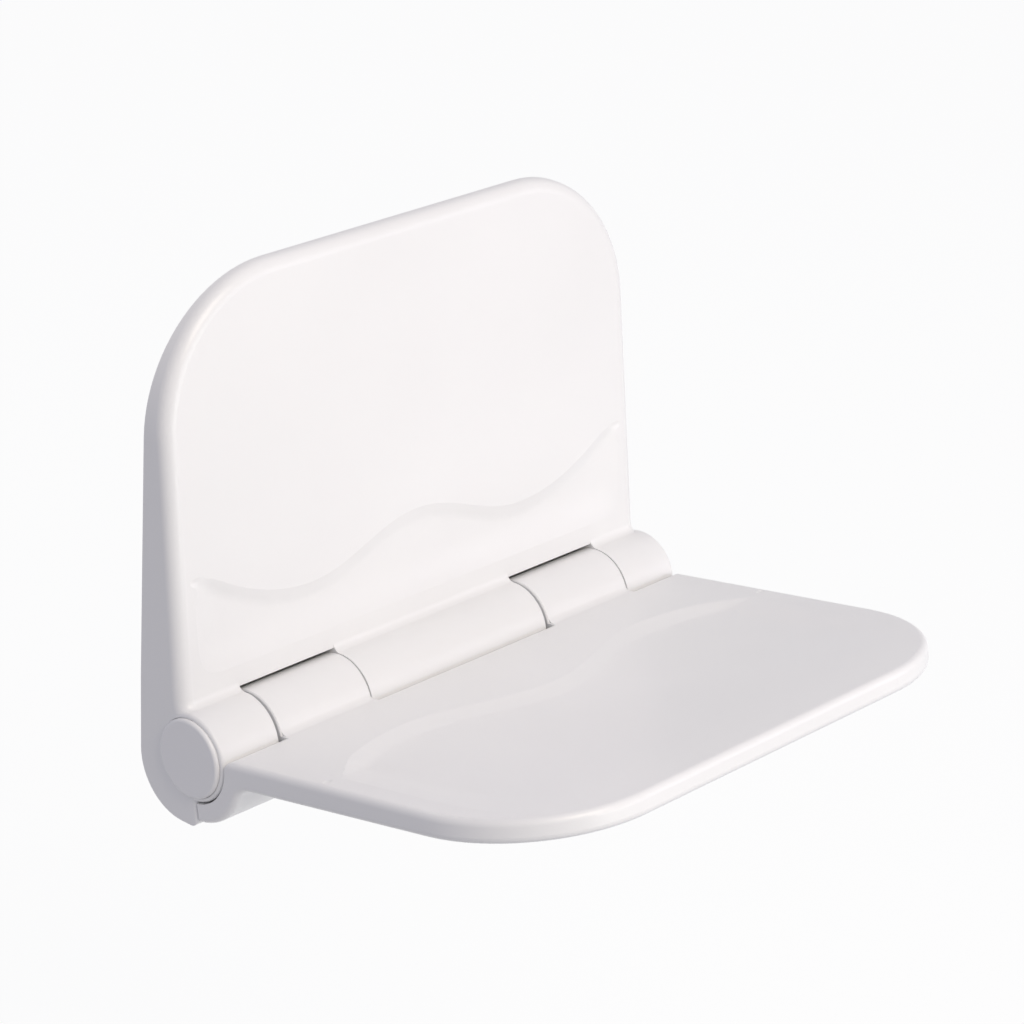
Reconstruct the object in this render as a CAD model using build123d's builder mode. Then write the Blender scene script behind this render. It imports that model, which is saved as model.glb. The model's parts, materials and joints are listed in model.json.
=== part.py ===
from build123d import *
import math
import os

os.makedirs("parts", exist_ok=True)

# Overall sizes, in millimetres and degrees
seat_width = 380.0
seat_length = 263.0
seat_thick = 15.9
seat_taper = 2.5
seat_rise = 9.9
back_height = 262.5
back_top_thick = 9.2
back_draft = 4.0
back_corner = 86.0
seat_corner = 83.0
hinge_back = 41.0
hinge_drop = 95.0
face_offset = 4.0
fold_gap = 1.2

# Hinge barrel, its knuckles and the two lips under it
barrel_radius = 26.0
barrel_round = 2.0
end_knuckle = 42.6
seat_knuckle = 74.3
seam_left = 2.4
seam_right = 0.6
knuckle_blend = 5.0
knuckle_round = 1.0
lip_gap = 1.0
lip_thick = 11.7
lip_blend = 10.0
lip_angle = 8.7
lip_drop = 41.5
lip_end_round = 5.0
lip_side_round = 2.5
slit = 1.4
notch_gap = 2.6
rear_round = 34.0
rear_edge_round = 6.0

# Rounded edges
back_edge_round = 8.0
seat_top_round = 4.0
seat_bottom_round = 4.0

# Shallow dishes in the backrest and the seat, each with a wavy border
dish_skin = 0.15
dish_margin = 9.0
dish_clear = 10.0
band_least = 3.0
band_ease = 0.25
back_band = 12.0
back_dish_depth = 2.5
back_dish_start = 34.0
back_dish_fade = 32.0
back_side_fade = 28.0
back_wave_low = 68.0
back_wave_height = 20.0
back_wave_half = 86.0
back_wave_flare = 46.0
seat_band = 17.0
seat_dish_depth = 3.8
seat_dish_fade = 120.0
seat_side_fade = 40.0
seat_wave_low = 79.5
seat_wave_height = 26.5
seat_wave_half = 97.0
seat_wave_flare = 36.0
dish_columns = 52
dish_rows = 66

# Shaft, bushes and the parts under the end caps
shaft_radius = 7.0
shaft_recess = 22.0
running_gap = 0.05
bush_wall = 3.0
bush_length = 18.0
bush_flange = 16.0
bush_gap = 0.06
flange_thick = 0.4
washer_radius = 14.0
washer_thick = 2.0
end_screw_radius = 4.0
end_screw_depth = 20.0
end_head_radius = 6.5
end_head_height = 5.0
end_socket = 2.9
end_socket_depth = 3.0
cap_radius = 23.4
cap_gap = 0.25
cap_seat = 4.0
cap_proud = 2.5
cap_round = 2.0
cap_pocket = 18.0
cap_spigot_wall = 2.5
cap_spigot_length = 6.0

# Upright ribs of both mouldings
rib_thick = 3.0
rib_pitch = 36.5
ribs_each_side = 4

# Backrest hollow
back_wall = 6.0
back_rim = 6.0
back_top_rim = 14.0
floor_wall = 5.0
hook_rib_height = 166.0
pocket_front = 24.0
pocket_low = 2.0
pocket_half = 36.0
pocket_edge = 5.0

# Wall plate, its hooks and the clamp screws
sheet = 3.0
plate_half = 125.0
plate_top = 146.0
plate_gap = 0.3
flange_front = 22.0
hole_spacing_x = 200.0
hole_spacing_z = 80.0
hole_radius = 3.5
hook_bay = 2
hook_width = 26.0
hook_stand = 9.0
hook_height = 15.0
clamp_bay = 1
clamp_stand = 10.0
clamp_radius = 3.0
clamp_clear = 0.3
clamp_head = 5.5
clamp_head_height = 5.0
clamp_bore = 6.5
clamp_ledge = 20.0
clamp_socket = 2.5
insert_neck = 4.5
insert_radius = 7.0
insert_height = 7.0

# Seat hollow, its cover and the cover screws
cover_margin = 7.0
cover_gap = 0.3
cover_thick = 3.0
cover_start = 54.0
hollow_depth = 4.5
hollow_step = 5.0
boss_radius = 5.0
cover_screw_rib = 3
cover_screw_near = 75.0
cover_screw_far = 225.0
cover_screw_radius = 1.7
cover_screw_length = 6.8
cover_screw_gap = 0.05
cover_head = 3.4
cover_head_height = 1.8

# Stop pads between the lips
pad_inset = 2.5
pad_start = 20.0
pad_length = 120.0
pad_play = 0.3
pad_sink = 1.2
pad_fit = 0.1

# Sizes that follow from the ones above
half_width = seat_width / 2
axis_y = -hinge_back
axis_z = -hinge_drop
seam_outer = half_width - end_knuckle
seam_inner = seam_outer - seat_knuckle
rib_places = [i * rib_pitch for i in range(-ribs_each_side, ribs_each_side + 1)]
hook_centre = (hook_bay + 1 / 2) * rib_pitch
clamp_x = (clamp_bay + 1 / 2) * rib_pitch
cover_screw_x = cover_screw_rib * rib_pitch
front_top = hinge_back - back_top_thick
back_lean = (front_top - face_offset) / back_height
lean = math.atan(back_lean)
rise = math.radians(seat_rise)
under_rise = rise + math.atan(seat_taper / seat_length)
seat_top = face_offset - fold_gap
seat_bottom = seat_top - seat_thick
lip_inner = barrel_radius + lip_gap
lip_outer = lip_inner + lip_thick
notch_radius = barrel_radius + notch_gap
slit_angle = math.degrees(2 * slit / (lip_inner + lip_outer))
seat_lip_angle = lip_angle + slit_angle
lip_front = -lip_drop * math.tan(math.radians(lip_angle))
rear_low = rear_round - lip_drop
bottom_back = hinge_back - rear_round
bush_radius = shaft_radius + running_gap + bush_wall
shaft_end = half_width - shaft_recess
floor_height = notch_radius + floor_wall
blend_top = barrel_radius + 2 * knuckle_blend
flange_top = floor_height + plate_gap + sheet
plate_front = hinge_back - sheet
clamp_y = hinge_back - clamp_stand
pad_low = lip_inner + pad_inset
pad_high = lip_outer - pad_inset
pad_near = lip_angle + math.degrees(pad_play / pad_low)
pad_far = seat_lip_angle + math.degrees(pad_sink / pad_low)

# Directions of the leaning backrest face and the rising seat
face_out = (0, -math.cos(lean), math.sin(lean))
seat_out = (0, math.sin(rise), math.cos(rise))
seat_forward = (0, -math.cos(rise), math.sin(rise))
hinge_axis = (0, axis_y, axis_z)
wall_view = Plane((0, 0, axis_z), x_dir=(1, 0, 0), z_dir=(0, -1, 0))
back_face = Plane((0, axis_y + face_offset, axis_z), x_dir=(1, 0, 0), z_dir=face_out)
seat_level = Plane(hinge_axis, x_dir=(-1, 0, 0), z_dir=seat_out)
under_out = (0, math.sin(under_rise), math.cos(under_rise))
seat_under = Plane(seat_level.from_local_coords((0, 0, seat_bottom)), x_dir=(-1, 0, 0), z_dir=under_out)
lip_turn = math.radians(lip_angle)
lip_plan = Plane(hinge_axis, x_dir=(1, 0, 0), z_dir=(0, -math.sin(lip_turn), -math.cos(lip_turn)))

# Lengths of the barrel that belong to the backrest and to the seat
back_knuckles = [(-half_width, -seam_outer), (-seam_inner, seam_inner), (seam_outer, half_width)]
seat_knuckles = [(-seam_outer, -seam_inner), (seam_inner, seam_outer)]
sides = [(-1, "left"), (1, "right")]
outer_seams = {-1: seam_left, 1: seam_right}
inner_seams = {-1: seam_right, 1: seam_left}
pad_starts = {-1: -pad_start - pad_length, 1: pad_start}


def side_view(x):
    """Plane across the hinge at x, centred on the axis, with its first direction to the wall."""
    return Plane((x, axis_y, axis_z), x_dir=(0, 1, 0), z_dir=(1, 0, 0))


def seat_view(x):
    """Plane across the hinge at x, turned with the seat's rise."""
    return Plane((x, axis_y, axis_z), x_dir=(0, math.cos(rise), -math.sin(rise)), z_dir=(1, 0, 0))


def swing(radius, angle):
    """Point at a radius from the axis, its angle counted from straight down to the front."""
    turn = math.radians(angle)
    return (-radius * math.sin(turn), -radius * math.cos(turn))


def end_view(side, distance):
    """Plane across the hinge axis at a distance from the middle, facing outwards."""
    return Plane((side * distance, axis_y, axis_z), x_dir=(0, 1, 0), z_dir=(side, 0, 0))


def ease(value):
    """Smooth step from 0 to 1."""
    t = min(max(value, 0.0), 1.0)
    return t**3 * (t * (6 * t - 15) + 10)


def slope(value):
    """Straight slope from 0 to 1 with a rounded start and end."""
    t = min(max(value, 0.0), 1.0)
    bend = 2 * band_ease * (1 - band_ease)
    if t < band_ease:
        return t**2 / bend
    if t > 1 - band_ease:
        return 1 - (1 - t) ** 2 / bend
    return (t - band_ease / 2) / (1 - band_ease)


def wave_line(x, low, height, half, flare):
    """Wavy border of a dish: high in the middle, low at half a wave, rising again to the sides."""
    if abs(x) < half:
        return low + height * (1 + math.cos(math.pi * x / half)) / 2
    return low + flare * ((abs(x) - half) / (half_width - half)) ** 2


def side_share(x, fade):
    """Share of a dish's depth that is left near the sides."""
    return ease((half_width - dish_margin - abs(x)) / fade)


def back_depth(x, reach):
    """Depth of the backrest's dish, which lies below its border and runs out towards the barrel."""
    line = wave_line(x, back_wave_low, back_wave_height, back_wave_half, back_wave_flare)
    share = side_share(x, back_side_fade)
    step = 1 - slope((reach - line) / max(back_band * share, band_least) + 1 / 2)
    fade = ease((reach - back_dish_start) / back_dish_fade)
    return (back_dish_depth + dish_skin) * step * fade * share


def seat_depth(x, reach):
    """Depth of the seat's dish, which lies beyond its border and runs out towards the front edge."""
    line = wave_line(x, seat_wave_low, seat_wave_height, seat_wave_half, seat_wave_flare)
    share = side_share(x, seat_side_fade)
    step = slope((reach - line) / max(seat_band * share, band_least) + 1 / 2)
    fade = ease((seat_length - dish_margin - reach) / seat_dish_fade)
    return (seat_dish_depth + dish_skin) * step * fade * share


def dish_space(plane, near, far, depth):
    """Space above a dished surface, between two distances from the hinge axis."""
    steps = [j / dish_rows for j in range(dish_rows + 1)]
    with BuildPart() as space:
        for i in range(dish_columns + 1):
            x = (half_width - dish_margin / 2) * (2 * i / dish_columns - 1)
            points = []
            for step in steps:
                reach = near + (far - near) * step
                points.append((reach, dish_skin - depth(x, reach)))
            across = Plane(plane.from_local_coords((x, 0, 0)), x_dir=plane.y_dir, z_dir=plane.x_dir)
            with BuildSketch(across):
                with BuildLine():
                    add(Edge.make_spline(points, parameters=steps))
                    Polyline(points[-1], (far, dish_clear), (near, dish_clear), points[0])
                make_face()
        loft()
    return space.part


def seat_outline(inset, start):
    """Seat plan with rounded front corners, in the open sketch."""
    half = half_width - inset
    far = seat_length - inset
    Polygon((-half, start), (half, start), (half, far), (-half, far), align=None)
    fillet(vertices().group_by(Axis.Y)[-1], seat_corner - inset)


def back_outline(inset, low, top_inset):
    """Backrest front view with rounded top corners, in the open sketch."""
    half = half_width - inset
    top = back_height - top_inset
    Polygon(
        (-half, low),
        (half, low),
        (half, blend_top),
        (half - back_draft, top),
        (back_draft - half, top),
        (-half, blend_top),
        align=None,
    )
    fillet(vertices().group_by(Axis.Y)[-1], back_corner - inset)


# Dishes of the backrest and the seat
back_dish_end = back_wave_low + back_wave_height + back_wave_flare
back_dish = dish_space(back_face, back_dish_start, back_dish_end, back_depth)
seat_dish_near = seat_wave_low - seat_band
seat_dish_end = seat_length - dish_margin / 2
seat_dish = dish_space(seat_level.offset(seat_top), seat_dish_near, seat_dish_end, seat_depth)

# Space behind the backrest between its ribs
with BuildPart() as back_hollow:
    inner = face_offset + back_wall / math.cos(lean)
    with BuildSketch(side_view(-half_width)):
        Polygon(
            (inner + back_lean * floor_height, floor_height),
            (hinge_back, floor_height),
            (hinge_back, back_height),
            (inner + back_lean * back_height, back_height),
            align=None,
        )
    extrude(amount=seat_width)
    with BuildSketch(wall_view):
        back_outline(back_rim, 0, back_top_rim)
    extrude(amount=hinge_back, mode=Mode.INTERSECT)
    for x in rib_places:
        with Locations((x, axis_y, axis_z)):
            Box(
                rib_thick,
                hinge_back,
                back_height,
                align=(Align.CENTER, Align.MIN, Align.MIN),
                mode=Mode.SUBTRACT,
            )
    with Locations((0, axis_y, axis_z + hook_rib_height)):
        Box(
            seat_width,
            hinge_back,
            rib_thick,
            align=(Align.CENTER, Align.MIN, Align.MIN),
            mode=Mode.SUBTRACT,
        )
    tongue_front = plate_front - hook_stand + sheet + plate_gap
    for x in (-hook_centre, hook_centre):
        with Locations((x, axis_y + tongue_front, axis_z + plate_top + plate_gap)):
            Box(
                hook_width,
                plate_front - tongue_front,
                hook_rib_height - plate_top,
                align=(Align.CENTER, Align.MIN, Align.MIN),
                mode=Mode.SUBTRACT,
            )
    with Locations((0, -sheet - plate_gap, axis_z + floor_height)):
        Box(
            2 * (plate_half + plate_gap),
            sheet + plate_gap,
            plate_top + plate_gap - floor_height,
            align=(Align.CENTER, Align.MIN, Align.MIN),
        )
    with Locations((0, axis_y + flange_front - plate_gap, axis_z + floor_height)):
        Box(
            2 * (plate_half + plate_gap),
            hinge_back - flange_front + plate_gap,
            sheet + 2 * plate_gap,
            align=(Align.CENTER, Align.MIN, Align.MIN),
        )

# Round bars of the backrest's knuckles
with BuildPart() as back_bars:
    for start, stop in back_knuckles:
        with BuildSketch(side_view(start)):
            Circle(barrel_radius)
        extrude(amount=stop - start)
    rims = edges().filter_by(GeomType.CIRCLE).sort_by(Axis.X)
    fillet([rims[0], rims[-1]], barrel_round)

# Lip of the backrest under the hinge
with BuildPart() as back_lip:
    with BuildSketch(side_view(-half_width)):
        with BuildLine():
            Polyline(
                (hinge_back, rear_low),
                (hinge_back, 0),
                (0, 0),
                (lip_front, -lip_drop),
                (bottom_back, -lip_drop),
            )
            CenterArc((bottom_back, rear_low), rear_round, 270, 90)
        make_face()
        fillet(vertices().sort_by_distance((lip_front, -lip_drop, 0))[0], lip_end_round)
    extrude(amount=seat_width)
    with BuildSketch(lip_plan.offset(-hinge_back)):
        with Locations((0, -hinge_back)):
            Rectangle(seat_width, 2 * hinge_back)
        fillet(vertices().group_by(Axis.Y)[-1], lip_side_round)
    extrude(amount=3 * hinge_back, mode=Mode.INTERSECT)

# Blends between the backrest's face and its knuckles, rounded at the outer ends
with BuildPart() as back_blends:
    for start, stop in back_knuckles:
        with BuildSketch(side_view(start)):
            Circle(barrel_radius)
            Polygon(
                (face_offset, 0),
                (face_offset + back_lean * blend_top, blend_top),
                (barrel_radius, blend_top),
                (barrel_radius, 0),
                align=None,
            )
            corner = (face_offset + back_lean * barrel_radius, barrel_radius, 0)
            fillet(vertices().sort_by_distance(corner)[0], knuckle_blend)
        extrude(amount=stop - start)
    arcs = edges().filter_by(GeomType.CIRCLE).group_by(SortBy.RADIUS)[0].sort_by(Axis.X)
    fillet([arcs[0], arcs[-1]], back_edge_round)

# Backrest: panel, lip, knuckles, hollow and dish
with BuildPart() as backrest:
    with BuildSketch(side_view(-half_width)):
        Polygon(
            (hinge_back, 0),
            (hinge_back, back_height),
            (front_top, back_height),
            (face_offset, 0),
            align=None,
        )
    extrude(amount=seat_width)
    with BuildSketch(wall_view):
        back_outline(0, -hinge_back, 0)
    extrude(amount=2 * hinge_back, mode=Mode.INTERSECT)
    front = faces().filter_by(back_face).sort_by(Axis.Y)[0]
    fillet(front.edges().sort_by(Axis.Z)[1:], back_edge_round)
    add(back_lip.part)
    add(back_bars.part)
    add(back_blends.part)
    for start, stop in seat_knuckles:
        with BuildSketch(side_view(start)):
            Circle(notch_radius)
        extrude(amount=stop - start, mode=Mode.SUBTRACT)
    add(back_hollow.part, mode=Mode.SUBTRACT)
    pockets = [(start + pocket_edge, stop - pocket_edge) for start, stop in back_knuckles]
    pockets[1:2] = [(-pocket_half, -rib_thick / 2), (rib_thick / 2, pocket_half)]
    for start, stop in pockets:
        with Locations(((start + stop) / 2, axis_y + pocket_front, axis_z + pocket_low)):
            Box(
                stop - start,
                hinge_back - pocket_front,
                barrel_radius - pocket_low,
                align=(Align.CENTER, Align.MIN, Align.MIN),
                mode=Mode.SUBTRACT,
            )
    with BuildSketch(side_view(-half_width)):
        Circle(shaft_radius + running_gap)
    extrude(amount=seat_width, mode=Mode.SUBTRACT)
    for side in (-1, 1):
        with BuildSketch(end_view(side, shaft_end)):
            Circle(cap_pocket)
        extrude(amount=shaft_recess, mode=Mode.SUBTRACT)
        with BuildSketch(end_view(side, half_width - cap_seat)):
            Circle(cap_radius + cap_gap)
        extrude(amount=cap_seat, mode=Mode.SUBTRACT)
        with BuildSketch(Plane((side * clamp_x, axis_y + clamp_y, axis_z + clamp_ledge))):
            Circle(clamp_bore)
        extrude(amount=-2 * hinge_back, mode=Mode.SUBTRACT)
        with BuildSketch(Plane((side * clamp_x, axis_y + clamp_y, axis_z + clamp_ledge))):
            Circle(clamp_radius + clamp_clear)
        extrude(amount=floor_height - clamp_ledge, mode=Mode.SUBTRACT)
    add(back_dish, mode=Mode.SUBTRACT)

backrest.part.label = "backrest_shell"
export_step(backrest.part, "parts/backrest_shell.step")

# Wall plate: sheet with a lower flange and two hooks
with BuildPart() as wall_plate:
    with Locations((0, -sheet, axis_z + floor_height + plate_gap)):
        Box(
            2 * plate_half,
            sheet,
            plate_top - floor_height - plate_gap,
            align=(Align.CENTER, Align.MIN, Align.MIN),
        )
    with Locations((0, axis_y + flange_front, axis_z + floor_height + plate_gap)):
        Box(
            2 * plate_half,
            hinge_back - flange_front,
            sheet,
            align=(Align.CENTER, Align.MIN, Align.MIN),
        )
    for x in (-hook_centre, hook_centre):
        with Locations((x, axis_y + plate_front - hook_stand, axis_z + plate_top - sheet)):
            Box(
                hook_width,
                hook_stand + sheet,
                sheet,
                align=(Align.CENTER, Align.MIN, Align.MIN),
            )
            Box(
                hook_width,
                sheet,
                hook_height,
                align=(Align.CENTER, Align.MIN, Align.MIN),
            )
    with BuildSketch(Plane((0, 0, 0), x_dir=(1, 0, 0), z_dir=(0, -1, 0))):
        with GridLocations(hole_spacing_x, hole_spacing_z, 2, 2):
            Circle(hole_radius)
    extrude(amount=sheet, mode=Mode.SUBTRACT)
    for side in (-1, 1):
        with BuildSketch(Plane((side * clamp_x, axis_y + clamp_y, axis_z + floor_height))):
            Circle(insert_neck + running_gap)
        extrude(amount=2 * sheet, mode=Mode.SUBTRACT)

wall_plate.part.label = "wall_plate"
export_step(wall_plate.part, "parts/wall_plate.step")

# Threaded inserts in the flange, and the clamp screws from below
with BuildPart() as clamp_inserts:
    for side in (-1, 1):
        base = Plane((side * clamp_x, axis_y + clamp_y, axis_z + flange_top))
        with BuildSketch(base):
            Circle(insert_radius)
        extrude(amount=insert_height)
        with BuildSketch(base):
            Circle(insert_neck)
        extrude(amount=-sheet)
        with BuildSketch(base.offset(insert_height)):
            Circle(clamp_radius + running_gap)
        extrude(amount=-2 * insert_height, mode=Mode.SUBTRACT)

clamp_inserts.part.label = "clamp_inserts"
export_step(clamp_inserts.part, "parts/clamp_inserts.step")

with BuildPart() as clamp_screws:
    for side in (-1, 1):
        ledge = Plane((side * clamp_x, axis_y + clamp_y, axis_z + clamp_ledge))
        with BuildSketch(ledge):
            Circle(clamp_radius)
        extrude(amount=flange_top + insert_height - clamp_ledge)
        with BuildSketch(ledge):
            Circle(clamp_head)
        extrude(amount=-clamp_head_height)
        with BuildSketch(ledge.offset(-clamp_head_height)):
            RegularPolygon(clamp_socket, 6)
        extrude(amount=clamp_head_height / 2, mode=Mode.SUBTRACT)

clamp_screws.part.label = "clamp_screws"
export_step(clamp_screws.part, "parts/clamp_screws.step")

# Hinge shaft with a tapped hole in each end
with BuildPart() as hinge_shaft:
    with BuildSketch(side_view(-shaft_end)):
        Circle(shaft_radius)
    extrude(amount=2 * shaft_end)
    for side in (-1, 1):
        with BuildSketch(end_view(side, shaft_end)):
            Circle(end_screw_radius + running_gap)
        extrude(amount=-end_screw_depth, mode=Mode.SUBTRACT)

hinge_shaft.part.label = "hinge_shaft"
export_step(hinge_shaft.part, "parts/hinge_shaft.step")

# Washer, screw and cap at each end of the shaft
for side, name in sides:
    with BuildPart() as shaft_washer:
        with BuildSketch(end_view(side, shaft_end)):
            Circle(washer_radius)
            Circle(end_screw_radius + clamp_clear, mode=Mode.SUBTRACT)
        extrude(amount=washer_thick)
    shaft_washer.part.label = "shaft_washer_" + name
    export_step(shaft_washer.part, "parts/shaft_washer_" + name + ".step")

    head_base = shaft_end + washer_thick
    with BuildPart() as shaft_screw:
        with BuildSketch(end_view(side, head_base)):
            Circle(end_screw_radius)
        extrude(amount=-end_screw_depth)
        with BuildSketch(end_view(side, head_base)):
            Circle(end_head_radius)
        extrude(amount=end_head_height)
        with BuildSketch(end_view(side, head_base + end_head_height)):
            RegularPolygon(end_socket, 6)
        extrude(amount=-end_socket_depth, mode=Mode.SUBTRACT)
    shaft_screw.part.label = "shaft_screw_" + name
    export_step(shaft_screw.part, "parts/shaft_screw_" + name + ".step")

    cap_base = half_width - cap_seat
    with BuildPart() as end_cap:
        with BuildSketch(end_view(side, cap_base)):
            Circle(cap_radius)
        extrude(amount=cap_seat + cap_proud)
        fillet(edges().filter_by(GeomType.CIRCLE).sort_by(Axis((0, 0, 0), (side, 0, 0)))[-1], cap_round)
        with BuildSketch(end_view(side, cap_base)):
            Circle(cap_pocket - cap_gap)
            Circle(cap_pocket - cap_gap - cap_spigot_wall, mode=Mode.SUBTRACT)
        extrude(amount=-cap_spigot_length)
    end_cap.part.label = "end_cap_" + name
    export_step(end_cap.part, "parts/end_cap_" + name + ".step")

# Space under the seat between its ribs
with BuildPart() as seat_hollow:
    with BuildSketch(seat_under):
        seat_outline(cover_margin, cover_start)
    extrude(amount=cover_thick)
    with BuildSketch(seat_under.offset(cover_thick)):
        seat_outline(cover_margin + hollow_step, cover_start + hollow_step)
        for x in rib_places:
            with Locations((x, seat_length / 2)):
                Rectangle(rib_thick, seat_length, mode=Mode.SUBTRACT)
        for x in (-cover_screw_x, 0, cover_screw_x):
            for reach in (cover_screw_near, cover_screw_far):
                with Locations((x, reach)):
                    Circle(boss_radius, mode=Mode.SUBTRACT)
    extrude(amount=hollow_depth)
    with BuildSketch(seat_under.offset(cover_thick)):
        for x in (-cover_screw_x, 0, cover_screw_x):
            for reach in (cover_screw_near, cover_screw_far):
                with Locations((x, reach)):
                    Circle(cover_screw_radius + cover_screw_gap)
    extrude(amount=hollow_depth)

# Round bars of the seat's knuckles
with BuildPart() as seat_bars:
    for start, stop in seat_knuckles:
        with BuildSketch(side_view(start + seam_left)):
            Circle(barrel_radius)
        extrude(amount=stop - start - seam_left - seam_right)
    fillet(edges().filter_by(GeomType.CIRCLE), knuckle_round)

# Seat: plate with its lip, knuckles, hollow and dish
with BuildPart() as seat:
    tip_angle = seat_lip_angle - seat_rise
    with BuildSketch(seat_view(-half_width)):
        with BuildLine():
            Polyline((-lip_outer, 0), (0, 0), swing(lip_outer, tip_angle))
            CenterArc((0, 0), lip_outer, 180, 90 - tip_angle)
        make_face()
        Polygon(
            (-seat_length, seat_top),
            (0, seat_top),
            (0, seat_bottom),
            (-seat_length, seat_bottom + seat_taper),
            align=None,
        )
        corner = (-math.sqrt(lip_outer**2 - seat_bottom**2), seat_bottom, 0)
        fillet(vertices().sort_by_distance(corner)[0], lip_blend)
    extrude(amount=seat_width)
    with BuildSketch(seat_level.offset(-2 * lip_outer)):
        seat_outline(0, -lip_outer)
    extrude(amount=3 * lip_outer, mode=Mode.INTERSECT)
    forward = Axis(hinge_axis, seat_forward)
    top = faces().filter_by(seat_level).sort_by(Axis(hinge_axis, seat_out))[-1]
    fillet(top.edges().sort_by(forward)[1:], seat_top_round)
    bottom = faces().filter_by(seat_under).sort_by(SortBy.AREA)[-1]
    fillet(bottom.edges().sort_by(forward)[1:], seat_bottom_round)
    for start, stop in back_knuckles:
        low = max(start - seam_right, -half_width)
        high = min(stop + seam_left, half_width)
        with BuildSketch(seat_view(low)):
            Circle(lip_inner)
            Polygon(
                (-lip_outer - rear_edge_round, seat_top),
                (0, seat_top),
                (0, lip_outer),
                (-lip_outer - rear_edge_round, lip_outer),
                align=None,
            )
            corner = (-math.sqrt(lip_inner**2 - seat_top**2), seat_top, 0)
            fillet(vertices().sort_by_distance(corner)[0], rear_edge_round)
        extrude(amount=high - low, mode=Mode.SUBTRACT)
    add(seat_bars.part)
    for start, stop in seat_knuckles:
        low = start + seam_left + knuckle_round
        high = stop - seam_right - knuckle_round
        with BuildSketch(seat_view(low)):
            Circle(barrel_radius)
            Polygon(
                (-lip_outer, seat_top),
                (-lip_outer, 0),
                (0, 0),
                (0, seat_top),
                align=None,
            )
            corner = (-math.sqrt(barrel_radius**2 - seat_top**2), seat_top, 0)
            fillet(vertices().sort_by_distance(corner)[0], knuckle_blend)
        extrude(amount=high - low)
    with BuildSketch(side_view(-seam_outer)):
        Circle(bush_radius + bush_gap)
    extrude(amount=2 * seam_outer, mode=Mode.SUBTRACT)
    for side in (-1, 1):
        with BuildSketch(side_view(pad_starts[side] - pad_fit)):
            Polygon(
                swing(pad_low - pad_fit, lip_angle),
                swing(pad_high + pad_fit, lip_angle),
                swing(pad_high + pad_fit, pad_far),
                swing(pad_low - pad_fit, pad_far),
                align=None,
            )
        extrude(amount=pad_length + 2 * pad_fit, mode=Mode.SUBTRACT)
    add(seat_hollow.part, mode=Mode.SUBTRACT)
    add(seat_dish, mode=Mode.SUBTRACT)

seat.part.label = "seat_shell"
export_step(seat.part, "parts/seat_shell.step")

# Cover under the seat
with BuildPart() as seat_cover:
    with BuildSketch(seat_under):
        seat_outline(cover_margin + cover_gap, cover_start + cover_gap)
    extrude(amount=cover_thick)
    for x in (-cover_screw_x, 0, cover_screw_x):
        for reach in (cover_screw_near, cover_screw_far):
            with Locations(seat_under * Location((x, reach, 0))):
                Hole(cover_screw_radius + cover_gap)
                Cone(
                    cover_head + cover_screw_gap,
                    cover_screw_radius + cover_screw_gap,
                    cover_head_height,
                    align=(Align.CENTER, Align.CENTER, Align.MIN),
                    mode=Mode.SUBTRACT,
                )

seat_cover.part.label = "seat_cover"
export_step(seat_cover.part, "parts/seat_cover.step")

with BuildPart() as cover_screws:
    for x in (-cover_screw_x, 0, cover_screw_x):
        for reach in (cover_screw_near, cover_screw_far):
            with Locations(seat_under * Location((x, reach, 0))):
                Cylinder(
                    cover_screw_radius,
                    cover_screw_length,
                    align=(Align.CENTER, Align.CENTER, Align.MIN),
                )
                Cone(
                    cover_head,
                    cover_screw_radius,
                    cover_head_height,
                    align=(Align.CENTER, Align.CENTER, Align.MIN),
                )

cover_screws.part.label = "cover_screws"
export_step(cover_screws.part, "parts/cover_screws.step")

# Flanged bushes in both ends of each seat knuckle, and the stop pads
for side, name in sides:
    outer_face = seam_outer - outer_seams[side]
    inner_face = seam_inner + inner_seams[side]
    for place, face, inward in (("outer", outer_face, -1), ("inner", inner_face, 1)):
        with BuildPart() as bush:
            with BuildSketch(end_view(side, face)):
                Circle(bush_radius)
                Circle(shaft_radius + running_gap, mode=Mode.SUBTRACT)
            extrude(amount=inward * bush_length)
            with BuildSketch(end_view(side, face)):
                Circle(bush_flange)
                Circle(shaft_radius + running_gap, mode=Mode.SUBTRACT)
            extrude(amount=-inward * flange_thick)
        bush.part.label = "bush_" + name + "_" + place
        export_step(bush.part, "parts/bush_" + name + "_" + place + ".step")

    with BuildPart() as stop_pad:
        with BuildSketch(side_view(pad_starts[side])):
            Polygon(
                swing(pad_low, pad_near),
                swing(pad_high, pad_near),
                swing(pad_high, pad_far),
                swing(pad_low, pad_far),
                align=None,
            )
        extrude(amount=pad_length)
    stop_pad.part.label = "stop_pad_" + name
    export_step(stop_pad.part, "parts/stop_pad_" + name + ".step")
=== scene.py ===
import json
import math

import bpy
from mathutils import Matrix, Vector

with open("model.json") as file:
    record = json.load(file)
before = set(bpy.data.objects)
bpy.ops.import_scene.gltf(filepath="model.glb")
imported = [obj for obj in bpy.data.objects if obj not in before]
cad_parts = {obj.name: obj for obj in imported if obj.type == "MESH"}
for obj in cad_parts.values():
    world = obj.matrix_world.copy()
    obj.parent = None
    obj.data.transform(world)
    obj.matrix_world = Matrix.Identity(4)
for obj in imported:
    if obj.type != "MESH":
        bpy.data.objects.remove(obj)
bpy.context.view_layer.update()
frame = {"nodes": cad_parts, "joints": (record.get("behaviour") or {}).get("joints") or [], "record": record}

scene = bpy.context.scene
nodes = frame["nodes"]

# Hinge axis, in metres
hinge = Vector(frame["joints"][0]["pos_m"])

# Camera: turns in degrees, lengths in metres from the hinge, focal length in image widths, sensor in mm
azimuth = -47.998
elevation = 23.062
roll = 2.281
distance = 2.200805
aside = -0.048235
above = -0.085881
focal = 3748.285 / 1024
sensor = 36.0

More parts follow.
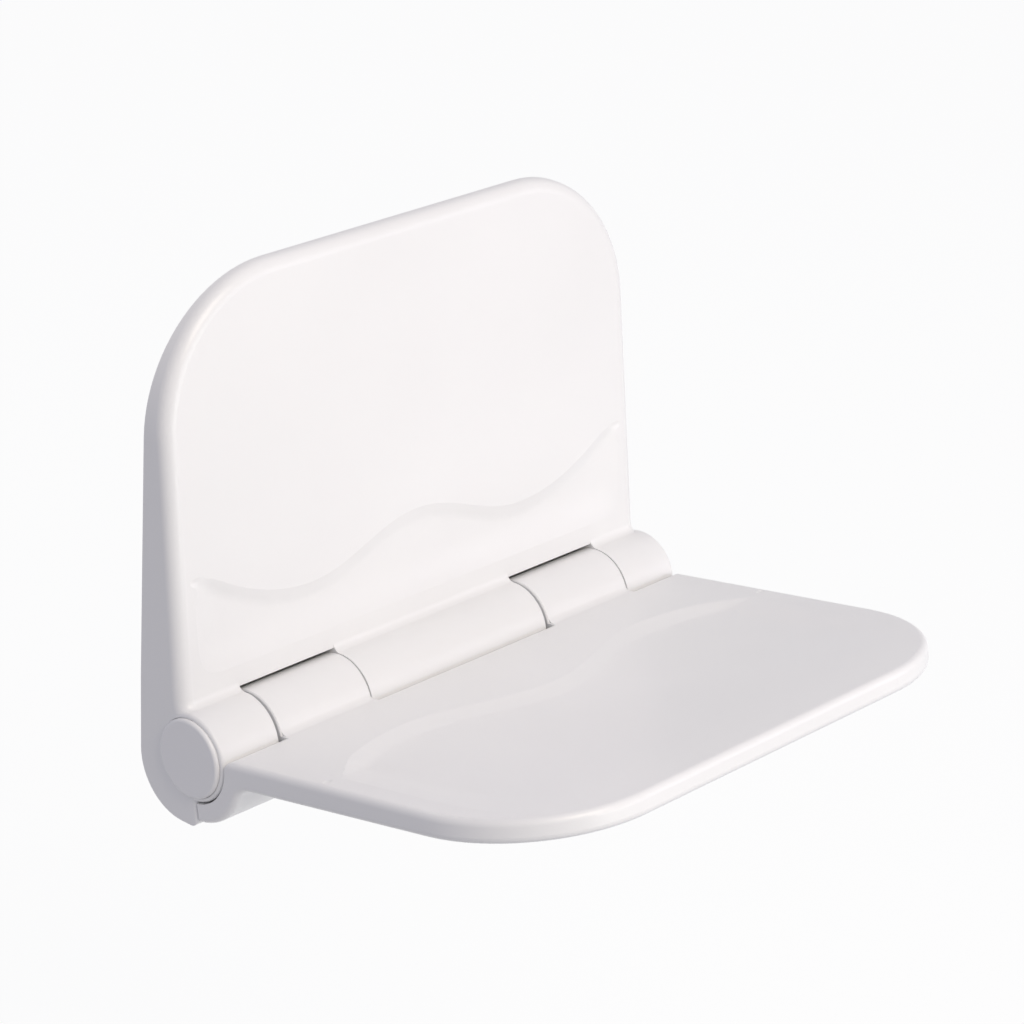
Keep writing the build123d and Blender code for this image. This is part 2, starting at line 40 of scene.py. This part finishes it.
# Plastic: scales per metre of the colour's drift and of the gloss, change of roughness, relief and refraction
drift_scale = 9.0
gloss_scale = 25.0
gloss_change = 0.015
grain_strength = 0.15
plastic_ior = 1.49

# Metal: scales per metre of the drawn lines and of the gloss, changes of roughness, relief of the lines
line_scale = 900.0
shine_scale = 300.0
shine_less = 0.06
shine_more = 0.08
line_strength = 0.2
line_depth = 0.00002

# The middle of a noise texture's range, where most of its values are
noise_low = 0.3
noise_high = 0.7

# Floor: drop below the hinge and half its width in metres, its surface, and its colour to the camera
floor_drop = 0.46
floor_reach = 40.0
floor_scale = 3.0
floor_rough = 0.9
floor_dark = (0.55, 0.55, 0.55)
floor_light = (0.57, 0.57, 0.57)
floor_shaded = (0.97, 0.97, 0.97)
floor_white = 0.93

# World: colour and strength of its light, and its strength in reflections and to the camera
soft_colour = (0.867, 0.87, 1.0)
soft_strength = 0.545
reflected_strength = 0.72
white_strength = 1.0

# The point that the lamps face, in metres from the hinge
lamp_aim = hinge + Vector((0, -0.079, 0.075))


def new_material(name):
    """Empty node material and its shader."""
    material = bpy.data.materials.new(name)
    material.use_nodes = True
    tree = material.node_tree
    tree.nodes.clear()
    output = tree.nodes.new("ShaderNodeOutputMaterial")
    shader = tree.nodes.new("ShaderNodeBsdfPrincipled")
    tree.links.new(shader.outputs["BSDF"], output.inputs["Surface"])
    return material, tree, shader


def noise(tree, scale, detail=2.0, stretch=None):
    """Noise in object space, with its scale per metre and an optional stretch of the axes."""
    place = tree.nodes.new("ShaderNodeTexCoord")
    texture = tree.nodes.new("ShaderNodeTexNoise")
    texture.inputs["Scale"].default_value = scale
    texture.inputs["Detail"].default_value = detail
    source = place.outputs["Object"]
    if stretch:
        mapping = tree.nodes.new("ShaderNodeMapping")
        mapping.inputs["Scale"].default_value = stretch
        tree.links.new(source, mapping.inputs["Vector"])
        source = mapping.outputs["Vector"]
    tree.links.new(source, texture.inputs["Vector"])
    return texture.outputs["Fac"]


def spread(tree, value, low, high):
    """A noise value spread over a range of numbers."""
    span = tree.nodes.new("ShaderNodeMapRange")
    span.inputs["From Min"].default_value = noise_low
    span.inputs["From Max"].default_value = noise_high
    span.inputs["To Min"].default_value = low
    span.inputs["To Max"].default_value = high
    tree.links.new(value, span.inputs["Value"])
    return span.outputs["Result"]


def tint(tree, value, dark, light):
    """A noise value turned into a mix of two colours."""
    ramp = tree.nodes.new("ShaderNodeValToRGB")
    first, last = ramp.color_ramp.elements
    first.position = noise_low
    first.color = (*dark, 1)
    last.position = noise_high
    last.color = (*light, 1)
    tree.links.new(value, ramp.inputs["Fac"])
    return ramp.outputs["Color"]


def bump(tree, shader, value, strength, distance):
    """Fine relief from a noise value."""
    relief = tree.nodes.new("ShaderNodeBump")
    relief.inputs["Strength"].default_value = strength
    relief.inputs["Distance"].default_value = distance
    tree.links.new(value, relief.inputs["Height"])
    tree.links.new(relief.outputs["Normal"], shader.inputs["Normal"])


def moulded(name, dark, light, rough, grain=1400.0, relief=0.000004):
    """Moulded plastic: slow colour drift, slight change of gloss and a fine moulding grain."""
    material, tree, shader = new_material(name)
    colour = tint(tree, noise(tree, drift_scale, detail=1.0), dark, light)
    gloss = spread(tree, noise(tree, gloss_scale, detail=1.0), rough - gloss_change, rough + gloss_change)
    tree.links.new(colour, shader.inputs["Base Color"])
    tree.links.new(gloss, shader.inputs["Roughness"])
    shader.inputs["IOR"].default_value = plastic_ior
    bump(tree, shader, noise(tree, grain), grain_strength, relief)
    return material


def metal(name, dark, light, rough, stretch):
    """Drawn or brushed metal with fine lines along one direction."""
    material, tree, shader = new_material(name)
    lines = noise(tree, line_scale, stretch=stretch)
    colour = tint(tree, lines, dark, light)
    gloss = spread(tree, noise(tree, shine_scale, stretch=stretch), rough - shine_less, rough + shine_more)
    tree.links.new(colour, shader.inputs["Base Color"])
    tree.links.new(gloss, shader.inputs["Roughness"])
    shader.inputs["Metallic"].default_value = 1.0
    bump(tree, shader, lines, line_strength, line_depth)
    return material


# Each slot's darker and lighter colour and roughness, then the grain's scale and relief or the lines' stretch
plastics = {
    "backrest_white": ((0.845, 0.845, 0.838), (0.865, 0.865, 0.858), 0.29),
    "seat_white": ((0.845, 0.845, 0.84), (0.865, 0.865, 0.86), 0.29),
    "cover_white": ((0.82, 0.82, 0.815), (0.84, 0.84, 0.835), 0.42),
    "cap_white": ((0.84, 0.84, 0.84), (0.86, 0.86, 0.86), 0.34),
    "bush_plastic": ((0.72, 0.72, 0.7), (0.76, 0.76, 0.74), 0.5),
    "pad_rubber": ((0.03, 0.03, 0.032), (0.05, 0.05, 0.052), 0.7, 700.0, 0.00006),
}
metals = {
    "plate_steel": ((0.52, 0.52, 0.53), (0.64, 0.64, 0.65), 0.34, (0.03, 1.0, 1.0)),
    "screw_steel": ((0.55, 0.55, 0.56), (0.66, 0.66, 0.67), 0.3, (1.0, 1.0, 1.0)),
    "insert_brass": ((0.66, 0.5, 0.24), (0.76, 0.6, 0.33), 0.32, (1.0, 1.0, 0.1)),
    "shaft_steel": ((0.6, 0.6, 0.61), (0.7, 0.7, 0.71), 0.22, (0.05, 1.0, 1.0)),
}
looks = {slot: moulded(slot, *values) for slot, values in plastics.items()}
looks.update({slot: metal(slot, *values) for slot, values in metals.items()})
for part in frame["record"]["subparts"]:
    piece = nodes[part["node"]]
    piece.data.materials.clear()
    piece.data.materials.append(looks[part["material_slot"]])

# Camera at the photograph's angle
swing, tilt, lean = (math.radians(angle) for angle in (azimuth, elevation, roll))
level = Vector((math.cos(swing), math.sin(swing), 0))
outward = Vector((math.sin(swing), -math.cos(swing), 0))
back = outward * math.cos(tilt) + Vector((0, 0, math.sin(tilt)))
upward = back.cross(level)
right = math.cos(lean) * level + math.sin(lean) * upward
top = math.cos(lean) * upward - math.sin(lean) * level
lens = bpy.data.cameras.new("camera")
lens.sensor_width = sensor
lens.lens = sensor * focal
camera = bpy.data.objects.new("camera", lens)
scene.collection.objects.link(camera)
stand = hinge - aside * right - above * top + distance * back
camera.matrix_world = Matrix.Translation(stand) @ Matrix((right, top, back)).transposed().to_4x4()
scene.camera = camera


def seen_directly(tree):
    """1 for rays of the camera and for those that a mirror or glass sends on, otherwise 0."""
    path = tree.nodes.new("ShaderNodeLightPath")
    value = path.outputs["Is Camera Ray"]
    for kind in ("Is Glossy Ray", "Is Transmission Ray"):
        larger = tree.nodes.new("ShaderNodeMath")
        larger.operation = "MAXIMUM"
        tree.links.new(value, larger.inputs[0])
        tree.links.new(path.outputs[kind], larger.inputs[1])
        value = larger.outputs[0]
    return value


def mix(tree, share, first, second):
    """Two shaders mixed by a number or by a value of another node."""
    mixed = tree.nodes.new("ShaderNodeMixShader")
    if isinstance(share, float):
        mixed.inputs["Fac"].default_value = share
    else:
        tree.links.new(share, mixed.inputs["Fac"])
    tree.links.new(first, mixed.inputs[1])
    tree.links.new(second, mixed.inputs[2])
    return mixed.outputs["Shader"]


# Floor at the height that such a seat is mounted above it: nearly white to the camera, with a faint shadow
mesh = bpy.data.meshes.new("floor")
low = hinge.z - floor_drop
corners = [(side * floor_reach, end * floor_reach, low) for side, end in ((-1, -1), (1, -1), (1, 1), (-1, 1))]
mesh.from_pydata(corners, [], [(0, 1, 2, 3)])
floor = bpy.data.objects.new("floor", mesh)
scene.collection.objects.link(floor)
material, tree, shader = new_material("floor_white")
shader.inputs["Roughness"].default_value = floor_rough
shader.inputs["Specular IOR Level"].default_value = 0.0
tree.links.new(tint(tree, noise(tree, floor_scale), floor_dark, floor_light), shader.inputs["Base Color"])
pale = tree.nodes.new("ShaderNodeBsdfDiffuse")
pale.inputs["Color"].default_value = (*floor_shaded, 1)
white = tree.nodes.new("ShaderNodeEmission")
white.inputs["Color"].default_value = (1, 1, 1, 1)
white.inputs["Strength"].default_value = white_strength
bright = mix(tree, floor_white, pale.outputs["BSDF"], white.outputs["Emission"])
surface = mix(tree, seen_directly(tree), shader.outputs["BSDF"], bright)
tree.links.new(surface, tree.nodes["Material Output"].inputs["Surface"])
mesh.materials.append(material)

# World: soft light all round, white to the camera and a little darker in reflections
world = bpy.data.worlds.new("world")
scene.world = world
world.use_nodes = True
tree = world.node_tree
tree.nodes.clear()
output = tree.nodes.new("ShaderNodeOutputWorld")
soft = tree.nodes.new("ShaderNodeBackground")
soft.inputs["Color"].default_value = (*soft_colour, 1)
soft.inputs["Strength"].default_value = soft_strength
clear = tree.nodes.new("ShaderNodeBackground")
clear.inputs["Color"].default_value = (1, 1, 1, 1)
brightness = tree.nodes.new("ShaderNodeMapRange")
brightness.inputs["To Min"].default_value = reflected_strength
brightness.inputs["To Max"].default_value = white_strength
path = tree.nodes.new("ShaderNodeLightPath")
tree.links.new(path.outputs["Is Camera Ray"], brightness.inputs["Value"])
tree.links.new(brightness.outputs["Result"], clear.inputs["Strength"])
surface = mix(tree, seen_directly(tree), soft.outputs["Background"], clear.outputs["Background"])
tree.links.new(surface, output.inputs["Surface"])


def lamp(name, place, size, power, colour):
    """Square area lamp that faces the aim: place and size in metres, power in watts."""
    data = bpy.data.lights.new(name, "AREA")
    data.shape = "SQUARE"
    data.size = size
    data.energy = power
    data.color = colour
    item = bpy.data.objects.new(name, data)
    item.location = place
    item.rotation_mode = "QUATERNION"
    item.rotation_quaternion = (lamp_aim - Vector(place)).to_track_quat("-Z", "Y")
    scene.collection.objects.link(item)


lamp("high", place=(-0.3, -1.9, 1.8), size=1.4, power=30.7, colour=(1.0, 0.896, 0.76))
lamp("low", place=(0.5, -2.6, -0.05), size=1.4, power=15.0, colour=(0.96, 1.0, 0.98))
lamp("side", place=(1.64, -1.85, 0.35), size=1.2, power=6.9, colour=(0.91, 0.88, 1.0))

scene.view_settings.view_transform = "Standard"
